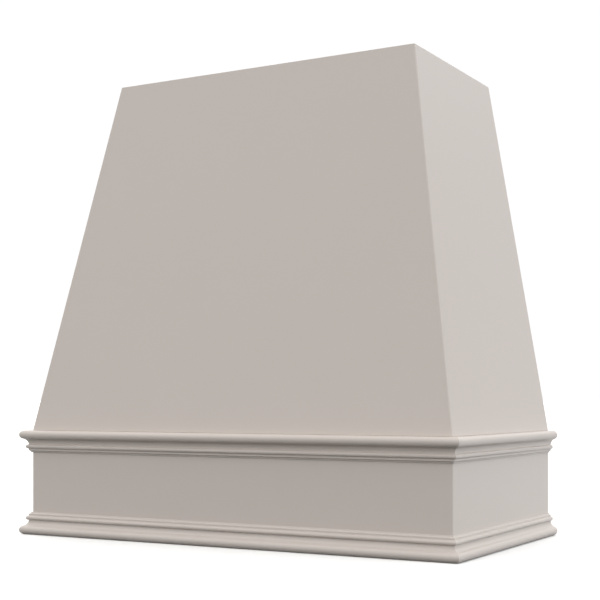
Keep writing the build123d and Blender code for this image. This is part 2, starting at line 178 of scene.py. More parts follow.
# %% [markdown]
# A photographer's softbox is a lamp behind a square of white cloth. It stands straight out from the
# cover's right side, so that the camera sees its reflection there and not on the front. Its lamp
# has the colour of daylight, a little bluer than the room, which takes the warmth out of the paint
# on that side. An area light's brightness to the eye is its power over pi and over its area, so the
# power is worked out from the brightness that the reflection needs.

# %% Softbox
box_width = 1.4             # metres, each way
box_distance = 3.5
box_lift = math.radians(5)
box_brightness = 2.9
box_code = "#E9F3FF"
box_way = Vector((math.cos(box_lift), 0, math.sin(box_lift)))

middle = Vector((cad_box[0] + cad_box[1]) / 2)
softbox_light = bpy.data.lights.new("softbox", "AREA")
softbox_light.shape = "SQUARE"
softbox_light.size = box_width
softbox_light.energy = box_brightness * math.pi * box_width ** 2
softbox_light.color = linear(box_code)[:3]
softbox = bpy.data.objects.new("softbox", softbox_light)
softbox.location = middle + box_way * box_distance
softbox.rotation_euler = (-box_way).to_track_quat("-Z", "Y").to_euler()
softbox.visible_camera = False
bpy.context.collection.objects.link(softbox)
print(f"softbox {softbox_light.energy:.1f} W")

# %% [markdown]
# ## Floor
# A plain pale floor under the cover. It is wide, so that it reaches the horizon and no edge of it
# shows. In the photograph the undersides of the mouldings are dark, so nothing bright lay under
# the cover. The floor is therefore hidden from the light that bounces and from shadows, and the
# dim lower half of the world lights the undersides instead.

# %% Make the floor
floor_reach = 400.0
floor_code = "#F4F4F3"

mesh = bmesh.new()
bmesh.ops.create_grid(mesh, x_segments=1, y_segments=1, size=floor_reach)
floor_data = bpy.data.meshes.new("floor")
mesh.to_mesh(floor_data)
mesh.free()
floor_paint = bpy.data.materials.new("floor_paint")
floor_paint.use_nodes = True
tree = floor_paint.node_tree
tree.nodes.clear()
matt = add(tree, "ShaderNodeBsdfPrincipled", {"Base Color": floor_code, "Roughness": 0.8})
add(tree, "ShaderNodeOutputMaterial", {"Surface": matt})
floor_data.materials.append(floor_paint)
floor = bpy.data.objects.new("floor", floor_data)
floor.visible_diffuse = False
floor.visible_shadow = False
bpy.context.collection.objects.link(floor)
print(f"floor {2 * floor_reach:.0f} m wide")

# %% [markdown]
# ## Paint
# The outside has a factory finish: a sprayed satin paint in a warm grey. To the eye it is even,
# with a soft sheen that whitens where it is seen at a low angle, and only close up does it show
# the fine orange peel that spray leaves. So it is a rough dielectric with a very shallow bump.

# %% Satin paint
def new_finish(name):
    """A material without nodes, and its tree."""
    material = bpy.data.materials.new(name)
    material.use_nodes = True
    material.node_tree.nodes.clear()
    return material, material.node_tree


peel_width = 4 * mm         # between the swells of the orange peel
peel_depth = 0.02 * mm
cloud_width = 110 * mm      # between the places where the film is thinner
paint_code = "#BEB5AE"
paint_thin_code = "#C0B7B0"

satin_paint, tree = new_finish("satin_paint_sprayed")
place = add(tree, "ShaderNodeTexCoord", output="Object")
film = add(tree, "ShaderNodeTexNoise", {"Vector": place, "Scale": 1 / cloud_width, "Detail": 2.0})
colour = add(tree, "ShaderNodeMix", {0: film, 6: paint_code, 7: paint_thin_code}, data_type="RGBA")
sheen = add(tree, "ShaderNodeMapRange", {"Value": film, "To Min": 0.36, "To Max": 0.42})
peel = add(tree, "ShaderNodeTexNoise", {"Vector": place, "Scale": 1 / peel_width, "Detail": 1.0})
bump = add(tree, "ShaderNodeBump", {"Height": peel, "Distance": peel_depth, "Strength": 0.5})
coat = add(
    tree,
    "ShaderNodeBsdfPrincipled",
    {"Base Color": colour, "Roughness": sheen, "Normal": bump},
)
add(tree, "ShaderNodeOutputMaterial", {"Surface": coat})
print("paint", satin_paint.name, paint_code)

# %% [markdown]
# ## Sizes from the construction
# The cover's outline isn't typed in again. It is measured on the construction's own boards, at the
# levels where they start and end.

# %% Measure the boards
same_place = 0.01 * mm      # points nearer to each other than this are one point


def level_box(node, level):
    """Lowest and highest corner of a node's points that lie at one height."""
    points = [v.co for v in nodes[node].data.vertices if abs(v.co.z - level) < same_place]
    corners = np.array(points)
    return Vector(corners.min(axis=0)), Vector(corners.max(axis=0))


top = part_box("front_panel")[1].z
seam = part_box("front_panel")[0].z
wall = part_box("right_side_panel")[1].y
band_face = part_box("apron_front")[0].y
band_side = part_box("apron_right")[1].x
top_face = level_box("front_panel", top)[0].y
top_side = level_box("right_side_panel", top)[1].x
top_inside_y = level_box("front_panel", top)[1].y
top_inside_x = level_box("right_side_panel", top)[0].x
band_inside_y = level_box("apron_front", seam)[1].y
band_inside_x = level_box("apron_right", seam)[0].x
print(f"seam at {seam:.4f}, top at {top:.4f}, band {band_side:.4f} x {wall - band_face:.4f}")
print(f"top {top_side:.4f} x {wall - top_face:.4f}, inside {top_inside_x:.4f}, {top_inside_y:.4f}")

# %% [markdown]
# ## Boards
# A joiner glues up the mitred box first and sands its corners round afterwards, so that the
# rounding runs true across the joint. The same order works here: the whole outside is made as one
# block, its corners are bevelled, and then each board is sawn out of a copy of the block. Its rims
# are eased a little too, as sandpaper and paint leave them.

# %% Block with rounded corners
corner_radius = 2.5 * mm
corner_steps = 8
rim_radius = 0.6 * mm
rim_steps = 3
rim_angle = math.radians(60)         # the facets of a rounded corner turn by less than this


def bevel(mesh, sharp, radius, steps, affect="EDGES"):
    """Round a solid's edges, or the corners of a flat outline, with an arc."""
    bmesh.ops.bevel(
        mesh,
        geom=sharp,
        offset=radius,
        segments=steps,
        profile=0.5,
        affect=affect,
        material=-1,
    )


def outside_block(low, high, low_side, low_face, high_side, high_face):
    """The cover's outside between two levels, with its front corners and its rims rounded."""
    mesh = bmesh.new()
    bmesh.ops.create_cube(mesh, size=2)
    for vertex in mesh.verts:
        right, back, up = vertex.co
        side = high_side if up > 0 else low_side
        face = high_face if up > 0 else low_face
        vertex.co = (right * side, wall if back > 0 else face, high if up > 0 else low)
    upright = [e for e in mesh.edges if abs(e.verts[0].co.z - e.verts[1].co.z) > corner_radius]
    upright.sort(key=lambda edge: edge.verts[0].co.y + edge.verts[1].co.y)
    bevel(mesh, upright[:2], corner_radius, corner_steps)
    rims = [e for e in mesh.edges if e.calc_face_angle() > rim_angle]
    bevel(mesh, rims, rim_radius, rim_steps)
    return mesh


shell_block = outside_block(seam, top, band_side, band_face, top_side, top_face)
band_block = outside_block(0, seam, band_side, band_face, band_side, band_face)
print(f"shell block {len(shell_block.faces)} faces, band block {len(band_block.faces)} faces")

# %% [markdown]
# A saw cut is a plane. Bisecting along it drops the waste, and the open cut is closed with one
# flat face. Every board is sawn from a fresh copy of its block, so that neighbours meet at a joint
# point for point.

# %% Saw
saw_tolerance = 0.001 * mm  # points this near to a saw plane are taken to lie on it


def saw(mesh, point, normal):
    """Saw a solid along a plane, drop the side that the normal points to and close the cut."""
    whole = mesh.verts[:] + mesh.edges[:] + mesh.faces[:]
    cut = bmesh.ops.bisect_plane(
        mesh, geom=whole, dist=saw_tolerance, plane_co=point, plane_no=normal, clear_outer=True
    )
    rim = [g for g in cut["geom_cut"] if isinstance(g, bmesh.types.BMEdge)]
    bmesh.ops.edgeloop_fill(mesh, edges=rim)


def sawn(block, *cuts):
    """A board: a copy of a block, sawn along planes, each a point and the way to the waste."""
    board = block.copy()
    for point, normal in cuts:
        saw(board, point, normal)
    return board


print(f"saw true to {saw_tolerance / mm:.3f} mm")

# %% [markdown]
# Every finished piece is treated alike: its faces are smooth where they bend gently and creased
# where they meet at an edge, large flat faces keep their own direction next to a rounding (that is
# what weighted normals do), and it takes the place of the plain piece of the construction.

# %% Finish a piece
crease = math.radians(35)


def finished(mesh, node, finishes, finish_of=None):
    """Make a mesh into the visible piece that stands for a node of the construction."""
    bmesh.ops.recalc_face_normals(mesh, faces=mesh.faces)
    for face in mesh.faces:
        face.smooth = True
        face.material_index = finish_of(face) if finish_of else 0
    for edge in mesh.edges:
        edge.smooth = edge.calc_face_angle() < crease
    data = bpy.data.meshes.new(f"{node}_finished")
    mesh.to_mesh(data)
    mesh.free()
    for finish in finishes:
        data.materials.append(finish)
    piece = bpy.data.objects.new(f"{node}_finished", data)
    bpy.context.collection.objects.link(piece)
    weighted = piece.modifiers.new("weighted_normals", "WEIGHTED_NORMAL")
    weighted.keep_sharp = True
    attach(piece, "root")
    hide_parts(node)


print(f"crease above {math.degrees(crease):.0f} degrees")

# %% [markdown]
# The planes that the boards are sawn along come from the measured corners. A mitre's plane holds
# the outer corner at the seam and the outer and inner corners at the top, and an inside plane
# holds the inner corners.

# %% Saw planes
side_slope = Vector((top_side - band_side, 0, top - seam))
face_slope = Vector((0, top_face - band_face, top - seam))
corner_slope = Vector((side_slope.x, face_slope.y, top - seam))
side_out = Vector((side_slope.z, 0, -side_slope.x)).normalized()
face_out = Vector((0, -face_slope.z, face_slope.y)).normalized()
shell_corner = Vector((top_side, top_face, top))
shell_inside = Vector((top_inside_x, top_inside_y, top))
shell_mitre = (shell_inside - shell_corner).cross(corner_slope).normalized()
band_corner = Vector((band_side, band_face, 0))
band_inside = Vector((band_inside_x, band_inside_y, 0))
band_mitre = Vector((1, 1, 0)).normalized()


def left(vector):
    """The mirror image of a place or a direction at the cover's left."""
    return Vector((-vector.x, vector.y, vector.z))


sides = (("right", Vector), ("left", left))     # Vector copies a place at the right as it is
print("mitre planes", [round(c, 3) for c in shell_mitre], [round(c, 3) for c in band_mitre])

# %% [markdown]
# ## Raw wood
# Both woods inside are solid patterns: their colour is worked out in the depth of the wood and not
# laid on its surface, so that faces, edges and ends match, as they do when a board is sawn. For
# that, each board's own directions come first: along its grain, and through its thickness.

# %% Directions of a board
fibre_depth = 0.2 * mm      # how far fibres stand out


def board_space(tree, grain, through, origin=(0, 0, 0)):
    """Coordinates with X along the grain and Z through the thickness, from an origin."""
    across = Vector(through).cross(Vector(grain)).normalized()
    turn = Matrix((Vector(grain).normalized(), across, Vector(through).normalized()))
    place = add(tree, "ShaderNodeTexCoord", output="Object")
    settings = {"Vector": place, "Location": -(turn @ Vector(origin)), "Rotation": turn.to_euler()}
    return add(tree, "ShaderNodeMapping", settings)


def end_grain(tree, direction):
    """How squarely the surface cuts the fibres that run in a direction, from 0 to 1."""
    normal = add(tree, "ShaderNodeTexCoord", output="Normal")
    way = Vector(direction).normalized()
    terms = {0: normal, 1: way}
    facing = add(tree, "ShaderNodeVectorMath", terms, "Value", operation="DOT_PRODUCT")
    return add(tree, "ShaderNodeMath", {0: facing}, operation="ABSOLUTE")


def fibres(tree, wood, width, stretch):
    """A streaky pattern of fibres of a width in metres, drawn out by the factors in stretch."""
    drawn = add(tree, "ShaderNodeVectorMath", {0: wood, 1: stretch}, operation="MULTIPLY")
    inputs = {"Vector": drawn, "Scale": 1 / width, "Detail": 4.0, "Distortion": 0.3}
    return add(tree, "ShaderNodeTexNoise", inputs)


def stained(tree, colour, pattern, low, high, most, stain):
    """A colour that takes a stain where a pattern rises from low to high, up to a share of it."""
    share = add(
        tree,
        "ShaderNodeMapRange",
        {"Value": pattern, "From Min": low, "From Max": high, "To Max": most},
    )
    return add(tree, "ShaderNodeMix", {0: share, 6: colour, 7: stain}, data_type="RGBA")


print("long grain streaks are drawn out along X")

# %% [markdown]
# Poplar is what painted work is made of: straight-grained, cream with greenish heartwood, and
# planed. Its growth rings are a wave in rings about a pith that lies outside the strip. The rings
# are 4 mm apart, and the fibres are drawn 1.5 mm wide, which is coarser than real ones, so that
# they still show from a step away. End grain drinks the light, so it is darker.

# %% Poplar
ring_spacing = 4 * mm
rings_per_scale = 20 / (2 * math.pi)     # the wave node's own rings in a metre, at a scale of 1
poplar_fibre = 1.5 * mm
heart_width = 120 * mm
sapwood_code = "#E2D4B0"
heartwood_code = "#CBC29C"
late_wood_code = "#B09A6E"
poplar_fibre_code = "#9C865C"
poplar_end_code = "#8A744C"
strip_pith = (0.0, 0.21, -0.34)      # the middle of the log passes through this place


def poplar(name, grain, through=(0, 0, 1), pith=strip_pith):
    """Planed poplar whose fibres run in a direction, sawn from a log whose pith is at a place."""
    material, tree = new_finish(name)
    wood = board_space(tree, grain, through, pith)
    drawn = add(tree, "ShaderNodeVectorMath", {0: wood, 1: (0.1, 1, 1)}, operation="MULTIPLY")
    rings = add(
        tree,
        "ShaderNodeTexWave",
        {
            "Vector": drawn,
            "Scale": 1 / (ring_spacing * rings_per_scale),
            "Distortion": 5.0,
            "Detail": 2.0,
            "Detail Scale": 0.15,
        },
        "Fac",
        wave_type="RINGS",
        rings_direction="X",
        wave_profile="SAW",
    )
    fine = fibres(tree, wood, poplar_fibre, (0.03, 1, 1))
    heart = fibres(tree, wood, heart_width, (0.2, 1, 1))
    colour = stained(tree, sapwood_code, heart, 0.46, 0.62, 1.0, heartwood_code)
    colour = stained(tree, colour, rings, 0.3, 1.0, 0.3, late_wood_code)
    colour = stained(tree, colour, fine, 0.35, 0.75, 0.3, poplar_fibre_code)
    colour = stained(tree, colour, end_grain(tree, grain), 0.5, 1.0, 0.35, poplar_end_code)
    rough = add(tree, "ShaderNodeMapRange", {"Value": fine, "To Min": 0.5, "To Max": 0.75})
    bump = add(tree, "ShaderNodeBump", {"Height": fine, "Distance": fibre_depth, "Strength": 0.4})
    planed = add(
        tree,
        "ShaderNodeBsdfPrincipled",
        {"Base Color": colour, "Roughness": rough, "Normal": bump},
    )
    add(tree, "ShaderNodeOutputMaterial", {"Surface": planed})
    return material


poplar_along = poplar("poplar_planed_along_wall", (1, 0, 0))
poplar_deep = poplar("poplar_planed_front_to_back", (0, 1, 0))
print(f"poplar rings {ring_spacing / mm:.0f} mm apart")

# %% [markdown]
# Birch plywood is a stack of veneers that turn by a right angle from one to the next. Its faces
# show the wide soft figure of a peeled log, and its edges show the stack: stripes that are pale
# where the fibres run along the edge and brown where they end in it. The number of the ply comes
# from the depth below the face, and the face veneer is a little thinner than the rest, so that no
# glue line falls on the face itself.

# %% Stack of veneers
board_plies = 12            # the two thin outer ones count as one here
ply_shift = 0.4             # of a ply: the count starts here, so that both faces lie in a veneer


def ply_of(tree, wood, thickness, plies):
    """The depth counted in plies, and whether a ply is one of those that run crosswise."""
    depth = add(tree, "ShaderNodeSeparateXYZ", {"Vector": wood}, "Z")
    terms = {0: depth, 1: plies / thickness, 2: ply_shift}
    count = add(tree, "ShaderNodeMath", terms, operation="MULTIPLY_ADD")
    number = add(tree, "ShaderNodeMath", {0: count}, operation="FLOOR")
    crosswise = add(tree, "ShaderNodeMath", {0: number, 1: 2.0}, operation="FLOORED_MODULO")
    return count, crosswise


print(f"{board_plies + 1} plies, of which the two outer ones are thinner")

# %% [markdown]
# Where paint was sprayed on the outside of the band, some of it went past the lower rim and fades
# out on the raw inside, as a ragged mist.

# %% Overspray
spray_fade = 12 * mm
mist_width = 6 * mm
spray_rough = 0.45


def oversprayed(tree, colour, rough, height):
    """Raw wood's colour and roughness with paint on them up to a height."""
    place = add(tree, "ShaderNodeTexCoord", output="Object")
    level = add(tree, "ShaderNodeSeparateXYZ", {"Vector": place}, "Z")
    mist = add(tree, "ShaderNodeTexNoise", {"Vector": place, "Scale": 1 / mist_width})
    terms = {0: mist, 1: -2 * spray_fade, 2: level}
    ragged = add(tree, "ShaderNodeMath", terms, operation="MULTIPLY_ADD")
    limits = {"Value": ragged, "From Min": height - spray_fade, "From Max": height - 2 * spray_fade}
    covered = add(tree, "ShaderNodeMapRange", limits)
    colour = add(tree, "ShaderNodeMix", {0: covered, 6: colour, 7: paint_code}, data_type="RGBA")
    return colour, add(tree, "ShaderNodeMix", {0: covered, 2: rough, 3: spray_rough})


print(f"overspray fades over {spray_fade / mm:.0f} mm")

# %% [markdown]
# The plywood is put together from these parts: a face wood whose grain follows the board, a core
# wood that is turned, and a dark glue line between the veneers. It is sanded, so it is dull, and
# the fibres catch a little light. They are drawn 2.5 mm wide, coarser than real ones, so that they
# show. Each board gets its own material, because its grain and its veneers lie their own way.

# %% Birch plywood
glue_share = 0.12           # of a veneer, for the dark glue line at its edge
birch_fibre = 2.5 * mm
figure_width = 35 * mm
birch_code = "#E6D3AF"
birch_figure_code = "#D8BC92"
birch_fibre_code = "#B8966A"
birch_end_code = "#8E6A40"
core_code = "#D6B98C"
core_fibre_code = "#A27C4E"
glue_code = "#6B4C2C"


def plywood(name, grain, through, face, thickness, plies=board_plies, sprayed=None):
    """Sanded plywood. Face is a point on one of its faces, and through points inwards from it."""
    material, tree = new_finish(name)
    across = Vector(through).cross(Vector(grain))
    wood = board_space(tree, grain, through, face)
    count, crosswise = ply_of(tree, wood, thickness, plies)
    figure = fibres(tree, wood, figure_width, (0.12, 1, 1))
    along = fibres(tree, wood, birch_fibre, (0.04, 1, 1))
    turned = fibres(tree, wood, birch_fibre, (1, 0.04, 1))
    face_wood = stained(tree, birch_code, figure, 0.35, 0.7, 1.0, birch_figure_code)
    face_wood = stained(tree, face_wood, along, 0.4, 0.8, 0.35, birch_fibre_code)
    face_wood = stained(tree, face_wood, end_grain(tree, grain), 0.5, 1.0, 0.55, birch_end_code)
    core_wood = stained(tree, core_code, turned, 0.4, 0.8, 0.5, core_fibre_code)
    core_wood = stained(tree, core_wood, end_grain(tree, across), 0.5, 1.0, 0.55, birch_end_code)
    colour = stained(tree, face_wood, crosswise, 0.0, 1.0, 1.0, core_wood)
    from_glue = add(tree, "ShaderNodeMath", {0: count, 1: 0.5}, operation="PINGPONG")
    colour = stained(tree, colour, from_glue, glue_share / 2, 0.0, 0.5, glue_code)
    rough = add(tree, "ShaderNodeMapRange", {"Value": along, "To Min": 0.45, "To Max": 0.72})
    if sprayed:
        colour, rough = oversprayed(tree, colour, rough, sprayed)
    bump = add(tree, "ShaderNodeBump", {"Height": along, "Distance": fibre_depth, "Strength": 0.3})
    sanded = add(
        tree,
        "ShaderNodeBsdfPrincipled",
        {"Base Color": colour, "Roughness": rough, "Normal": bump},
    )
    add(tree, "ShaderNodeOutputMaterial", {"Surface": sanded})
    return material


print(f"birch fibres {birch_fibre / mm:.1f} mm, figure {figure_width / mm:.0f} mm wide")

# %% [markdown]
# ## Shell
# Three boards of 19 mm plywood lean in to the top, the front one mitred into both sides. The side
# boards are housed for the upper back rail, whose own solid is the cutter: a Boolean is the plain
# way to cut a pocket to fit another piece. The solid comes as loose triangles, so a copy of it is
# welded first.

# %% Housing for a rail
def scratch(mesh_data):
    """An object that is only used to cut another one."""
    item = bpy.data.objects.new("scratch", mesh_data)
    bpy.context.collection.objects.link(item)
    return item


def welded(node):
    """A copy of a node of the construction, whose loose triangles are joined at their corners."""
    mesh = bmesh.new()
    mesh.from_mesh(nodes[node].data)
    bmesh.ops.remove_doubles(mesh, verts=mesh.verts, dist=same_place)
    return mesh


def house(mesh, rail):
    """Cut the housing for a rail into a board."""
    cutter_mesh = welded(rail)
    cutter_data = bpy.data.meshes.new("cutter")
    cutter_mesh.to_mesh(cutter_data)
    cutter_mesh.free()
    board_data = bpy.data.meshes.new("board")
    mesh.to_mesh(board_data)
    board, cutter = scratch(board_data), scratch(cutter_data)
    housing = board.modifiers.new("housing", "BOOLEAN")
    housing.operation = "DIFFERENCE"
    housing.solver = "EXACT"
    housing.object = cutter
    cut = board.evaluated_get(bpy.context.evaluated_depsgraph_get())
    mesh.clear()
    mesh.from_mesh(cut.to_mesh())
    cut.to_mesh_clear()
    bpy.data.objects.remove(board)
    bpy.data.objects.remove(cutter)


print(f"corners within {same_place / mm:.2f} mm of each other are welded")

# %% [markdown]
# The outsides of the boards are painted, and their insides, top rims and back edges are raw. Which
# of the two a face gets depends on the way it looks. The plywood's face grain climbs with each
# slope.

# %% Shell boards
painted_angle = math.radians(72)     # paint goes round a rim as far as this


def painted_where(*outwards):
    """Picks paint for the faces that look one of these ways, and raw wood for the others."""
    facing = math.cos(painted_angle)
    return lambda face: 0 if max(face.normal.dot(way) for way in outwards) > facing else 1


panel_thickness = (shell_corner - shell_inside).dot(face_out)
front_ply = plywood("birch_plywood_front", face_slope, face_out, shell_inside, panel_thickness)
side_ply = {
    side: plywood(
        f"birch_plywood_{side}",
        mirror(side_slope),
        mirror(side_out),
        mirror(shell_inside),
        panel_thickness,
    )
    for side, mirror in sides
}

front_board = sawn(
    shell_block,
    (shell_corner, shell_mitre),
    (left(shell_corner), left(shell_mitre)),
    (shell_inside, -face_out),
)
finished(
    front_board, "front_panel", [satin_paint, front_ply], painted_where(face_out)
)
for side, mirror in sides:
    board = sawn(
        shell_block,
        (mirror(shell_corner), -mirror(shell_mitre)),
        (mirror(shell_inside), -mirror(side_out)),
    )
    house(board, "back_rail_top")
    finished(
        board,
        f"{side}_side_panel",
        [satin_paint, side_ply[side]],
        painted_where(mirror(side_out)),
    )
shell_block.free()
print(f"panel thickness {panel_thickness / mm:.2f} mm")

# %% [markdown]
# ## Band
# The band's boards stand upright, and they are mitred at 45 degrees. Their lower rims show from
# below when the cover hangs over a cooker, so those are painted, and the spray has drifted a
# little way up their insides.

# %% Band boards
spray_height = 20 * mm
band_thickness = band_side - band_inside_x
front_way, side_way, down = Vector((0, -1, 0)), Vector((1, 0, 0)), Vector((0, 0, -1))
band_ply = {
    side: plywood(
        f"birch_plywood_band_{side}", grain, through, face, band_thickness, sprayed=spray_height
    )
    for side, grain, through, face in (
        ("front", (1, 0, 0), front_way, band_inside),
        ("right", (0, 1, 0), side_way, band_inside),
        ("left", (0, 1, 0), -side_way, left(band_inside)),
    )
}

front_board = sawn(
    band_block,
    (band_corner, band_mitre),
    (left(band_corner), left(band_mitre)),
    (band_inside, -front_way),
)
finished(
    front_board,
    "apron_front",
    [satin_paint, band_ply["front"]],
    painted_where(front_way, down),
)
for side, mirror in sides:
    board = sawn(
        band_block,
        (mirror(band_corner), -mirror(band_mitre)),
        (mirror(band_inside), -mirror(side_way)),
    )
    house(board, "back_rail_bottom")
    finished(
        board,
        f"apron_{side}",
        [satin_paint, band_ply[side]],
        painted_where(mirror(side_way), down),
    )
band_block.free()
print(f"band thickness {band_thickness / mm:.2f} mm")

# %% [markdown]
# ## Mouldings
# A classic moulding is milled from poplar: a round nose that runs into a cove, a bead on the
# upright beyond it, and a cavetto, which is a small cove at the thin edge. Such an outline is
# drawn with two moves, a line or an arc to the next point. An arc is a spun point: bmesh turns the
# last point about the arc's centre.

# %% Lines and arcs
def line_to(mesh, tip, x, z):
    """Carry the outline on to a point and return the new tip."""
    grown = bmesh.ops.extrude_vert_indiv(mesh, verts=[tip])["verts"][0]
    grown.co = (x, 0, z)
    return grown


def arc_to(mesh, tip, x, z, turn, steps):
    """Carry the outline on along an arc that turns by an angle: outwards if it is positive."""
    chord = Vector((x, 0, z)) - tip.co
    radius = chord.length / 2 / math.sin(abs(turn) / 2)
    inwards = math.copysign(1, turn) * chord.cross(Vector((0, 1, 0))).normalized()
    centre = tip.co + chord / 2 + inwards * radius * math.cos(turn / 2)
    way = Vector((0, -math.copysign(1, turn), 0))
    spun = bmesh.ops.spin(mesh, geom=[tip], cent=centre, axis=way, angle=abs(turn), steps=steps)
    return spun["geom_last"][0]


print("an outline grows by lines and by arcs")

# %% [markdown]
# The section is drawn once, member by member, with the nose first and the thin edge last. A
# milled corner is sharp until it is painted, so each corner is bevelled by the small radius that
# paint leaves on it.

# %% Section of the moulding
moulding_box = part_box("top_moulding_right")
projection = moulding_box[1].x - band_side
moulding_height = moulding_box[1].z - moulding_box[0].z
nose_radius = 8.8 * mm
cove_lean = math.radians(70)     # between the nose's end and the upright neck
neck_projection = 5.3 * mm
bead_radius = 4.3 * mm
cavetto_radius = 3.5 * mm
paint_radius = 0.35 * mm     # what paint makes of a milled corner
paint_steps = 3
nose_steps, cove_steps, bead_steps, cavetto_steps = 32, 12, 14, 10


def moulding_section():
    """The closed outline. X is the projection from the band and Z runs from the nose."""
    mesh = bmesh.new()
    nose_centre = projection - nose_radius
    nose_end_x = nose_centre + nose_radius * math.cos(cove_lean)
    nose_end = nose_radius + nose_radius * math.sin(cove_lean)
    cove_radius = (nose_end_x - neck_projection) / (1 - math.cos(cove_lean))
    cove_end = nose_end + cove_radius * math.sin(cove_lean)
    bead_end = cove_end + 2 * bead_radius
    step_end = moulding_height - cavetto_radius
    thin_edge = neck_projection - cavetto_radius
    start = mesh.verts.new((0, 0, 0))
    tip = line_to(mesh, start, nose_centre, 0)
    tip = arc_to(mesh, tip, nose_end_x, nose_end, math.pi / 2 + cove_lean, nose_steps)
    tip = arc_to(mesh, tip, neck_projection, cove_end, -cove_lean, cove_steps)
    tip = arc_to(mesh, tip, neck_projection, bead_end, math.pi, bead_steps)
    tip = line_to(mesh, tip, neck_projection, step_end)
    tip = arc_to(mesh, tip, thin_edge, moulding_height, -math.pi / 2, cavetto_steps)
    tip = line_to(mesh, tip, 0, moulding_height)
    mesh.edges.new((tip, start))
    bmesh.ops.edgeloop_fill(mesh, edges=mesh.edges[:])
    corners = [v for v in mesh.verts if v.co.x > 0 and v.calc_edge_angle() > crease]
    bevel(mesh, corners, paint_radius, paint_steps, affect="VERTICES")
    return mesh


section = moulding_section()
tall = max(vertex.co.z for vertex in section.verts)
print(f"moulding {tall / mm:.2f} x {projection / mm:.2f} mm, {len(section.verts)} points")
section.free()

# %% [markdown]
# The section is carried round the band, from the wall along the right side, across the front and
# back to the wall. At each corner it slides into the mitre's plane, so that both lengths share one
# outline there. The run is then sawn at its mitres, as real lengths are. The ends at the wall are
# raw wood.

# %% Carry the section round the band
def carried(mesh, outline, place):
    """Extrude an outline, put the new one where place says, and return its edges."""
    grown = bmesh.ops.extrude_edge_only(mesh, edges=outline)["geom"]
    points = {g for g in grown if isinstance(g, bmesh.types.BMVert)}
    for point in points:
        point.co = place(point.co)
    return [g for g in grown if isinstance(g, bmesh.types.BMEdge) and set(g.verts) <= points]


def moulding_run(nose_level, down_way):
    """The whole run of one moulding, from wall to wall, as one solid."""
    mesh = moulding_section()
    for vertex in mesh.verts:
        vertex.co = (band_side + vertex.co.x, wall, nose_level + down_way * vertex.co.z)
    outline = mesh.edges[:]
    corner_sum = band_side + band_face
    outline = carried(mesh, outline, lambda at: Vector((at.x, corner_sum - at.x, at.z)))
    outline = carried(mesh, outline, left)
    outline = carried(mesh, outline, lambda at: Vector((at.x, wall, at.z)))
    bmesh.ops.edgeloop_fill(mesh, edges=outline)
    return mesh


def raw_at_wall(face):
    """Picks raw wood for the end of a length that stands against the wall, and paint elsewhere."""
    return 1 if face.normal.y > math.cos(crease) else 0


for level, nose_level, down_way in (("top", seam, -1), ("bottom", 0, 1)):
    run = moulding_run(nose_level, down_way)
    length = sawn(run, (band_corner, band_mitre), (left(band_corner), left(band_mitre)))
    finished(length, f"{level}_moulding_front", [satin_paint])
    for side, mirror in sides:
        length = sawn(run, (mirror(band_corner), -mirror(band_mitre)))
        finished(
            length,
            f"{level}_moulding_{side}",
            [satin_paint, poplar_deep],
            raw_at_wall,
        )
    run.free()
print("two mouldings, three lengths each")

# %% [markdown]
# ## Screws
# Bright zinc-plated wood screws hold the rails, strips and ledgers. Plating is smooth but not
# polished, and it dulls in patches as it is handled. So the metal is a little rough, and its
# roughness changes from patch to patch.

# %% Zinc plating
patch_width = 1.1 * mm
zinc_code = "#C9CBCC"

zinc, tree = new_finish("steel_zinc_plated")
place = add(tree, "ShaderNodeTexCoord", output="Object")
patches = add(tree, "ShaderNodeTexNoise", {"Vector": place, "Scale": 1 / patch_width})
rough = add(tree, "ShaderNodeMapRange", {"Value": patches, "To Min": 0.2, "To Max": 0.5})
plated = add(
    tree,
    "ShaderNodeBsdfPrincipled",
    {"Base Color": zinc_code, "Metallic": 1.0, "Roughness": rough},
)
add(tree, "ShaderNodeOutputMaterial", {"Surface": plated})
print("plating", zinc.name, zinc_code)

# %% [markdown]
# The construction has plain tapered screws, so their places and lengths are read from it. Points
# that hang together belong to one screw. Its long axis is the direction in which its points spread
# most, and its thick end is the head.

# %% Find the screws
def screws_of(node):
    """The middle of the head, the direction to the tip and the length of each screw of a node."""
    merged = welded(node)
    for vertex in merged.verts:
        if vertex.tag:
            continue
        island = [vertex]
        vertex.tag = True
        for found in island:
            for edge in found.link_edges:
                other = edge.other_vert(found)
                if not other.tag:
                    other.tag = True
                    island.append(other)
        points = np.array([v.co for v in island])
        middle = points.mean(axis=0)
        axis = np.linalg.svd(points - middle)[2][0]
        along = (points - middle) @ axis
        radius = np.linalg.norm(points - middle - np.outer(along, axis), axis=1)
        if radius[along.argmin()] < radius[along.argmax()]:
            axis, along = -axis, -along
        yield Vector(middle + along.min() * axis), Vector(axis), along.max() - along.min()
    merged.free()


print(len(list(screws_of("ledger_screws"))), "screws in the ledgers")

# %% [markdown]
# A real screw is headed from wire, and its recess is punched. Here it starts as a circle, the rim
# of its head. Carried inwards and then down, this outline makes a square recess, and carried down
# on the outside it makes the cone of the head, the shank and the tip.

# %% Make the screws
head_radius = 3.9 * mm
head_height = 2.6 * mm
shank_radius = 2.0 * mm
tip_radius = 0.4 * mm
tip_height = 4.0 * mm
recess_half_width = 1.4 * mm
recess_depth = 2.0 * mm
recess_taper = 0.85
screw_sides = 24            # a multiple of 8, so that the recess has its corners


